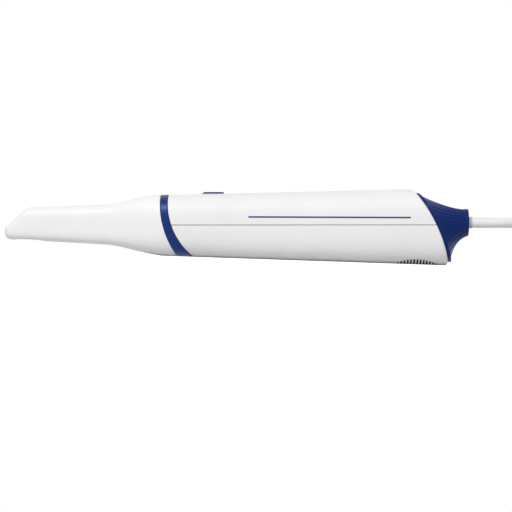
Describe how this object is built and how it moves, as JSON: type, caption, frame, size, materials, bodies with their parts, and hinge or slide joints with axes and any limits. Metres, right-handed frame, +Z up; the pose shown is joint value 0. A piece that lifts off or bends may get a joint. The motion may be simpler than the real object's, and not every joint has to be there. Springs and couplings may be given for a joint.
{
  "type": "intraoral scanner",
  "caption": "Handheld dental intraoral scanner with a pull-off tip, blue collar, tapered two-shell handle, push button, vent slots, fluted blue tail and coiled cable.",
  "frame": {"origin": "on the surface that the belly lies on, under the middle of the scanner without its cable", "axes": "+X from the tip to the tail, +Z up, Y across the mirror plane of the handle"},
  "size_m": [0.3337, 0.0648, 0.0389],
  "materials": {
    "white_plastic": "satin white moulded plastic",
    "blue_plastic": "glossy deep blue plastic",
    "blue_button": "satin blue plastic",
    "grey_rubber": "soft grey rubber",
    "black_plastic": "matt black plastic",
    "window_glass": "clear glass",
    "mirror_glass": "front-silvered glass",
    "bare_aluminium": "bare metal",
    "screw_steel": "plain steel",
    "circuit_board": "green solder resist",
    "chip_black": "moulded chip",
    "pad_grey": "soft pad",
    "cable_white": "soft white jacket",
    "plug_white": "moulded white grip",
    "plug_steel": "drawn steel",
    "tie_black": "woven strap"
  },
  "bodies": {
    "handle": {"upper_shell": "white_plastic", "lower_shell": "white_plastic", "collar_ring": "blue_plastic", "tail_cap": "blue_plastic", "button_gasket": "grey_rubber", "tip_seal": "grey_rubber", "cable_grommet": "grey_rubber", "nose_barrel": "black_plastic", "camera_tube": "black_plastic", "projector_tube": "black_plastic", "fan_frame": "black_plastic", "switch_body": "black_plastic", "cable_header": "black_plastic", "cable_clamp": "black_plastic", "vent_screen": "black_plastic", "front_window": "window_glass", "camera_lens": "window_glass", "projector_lens": "window_glass", "pattern_slide": "window_glass", "chassis": "bare_aluminium", "heat_sink": "bare_aluminium", "light_block": "bare_aluminium", "bulkhead_screws": "screw_steel", "chassis_screws": "screw_steel", "board_screws": "screw_steel", "fan_screws": "screw_steel", "button_screws": "screw_steel", "camera_board": "circuit_board", "light_board": "circuit_board", "main_board": "circuit_board", "button_board": "circuit_board", "image_sensor": "chip_black", "processor": "chip_black", "memory_chips": "chip_black", "thermal_pad": "pad_grey", "inner_cable": "cable_white", "cable": "cable_white", "cable_coil": "cable_white", "cable_tail": "cable_white", "plug_body": "plug_white", "plug_shell": "plug_steel", "coil_tie": "tie_black"},
    "scan_tip": {"tip_sleeve": "white_plastic", "tip_mirror": "mirror_glass"},
    "button": {"button_cap": "blue_button", "switch_plunger": "black_plastic"},
    "fan": {"fan_rotor": "black_plastic"}
  },
  "joints": [
    {"name": "tip_slide", "type": "slide", "parent": "handle", "child": "scan_tip", "axis": [-0.9994, 0, -0.0339], "range_m": [0, 0.045]},
    {"name": "button_press", "type": "slide", "parent": "handle", "child": "button", "axis": [0.0339, 0, -0.9994], "range_m": [0, 0.0005], "stiffness_N_per_m": 1500, "springref_m": -0.0005},
    {"name": "fan_spin", "type": "hinge", "parent": "handle", "child": "fan", "pos_m": [0.09236, 0, 0.00435], "axis": [-0.0339, 0, 0.9994], "continuous": true}
  ]
}
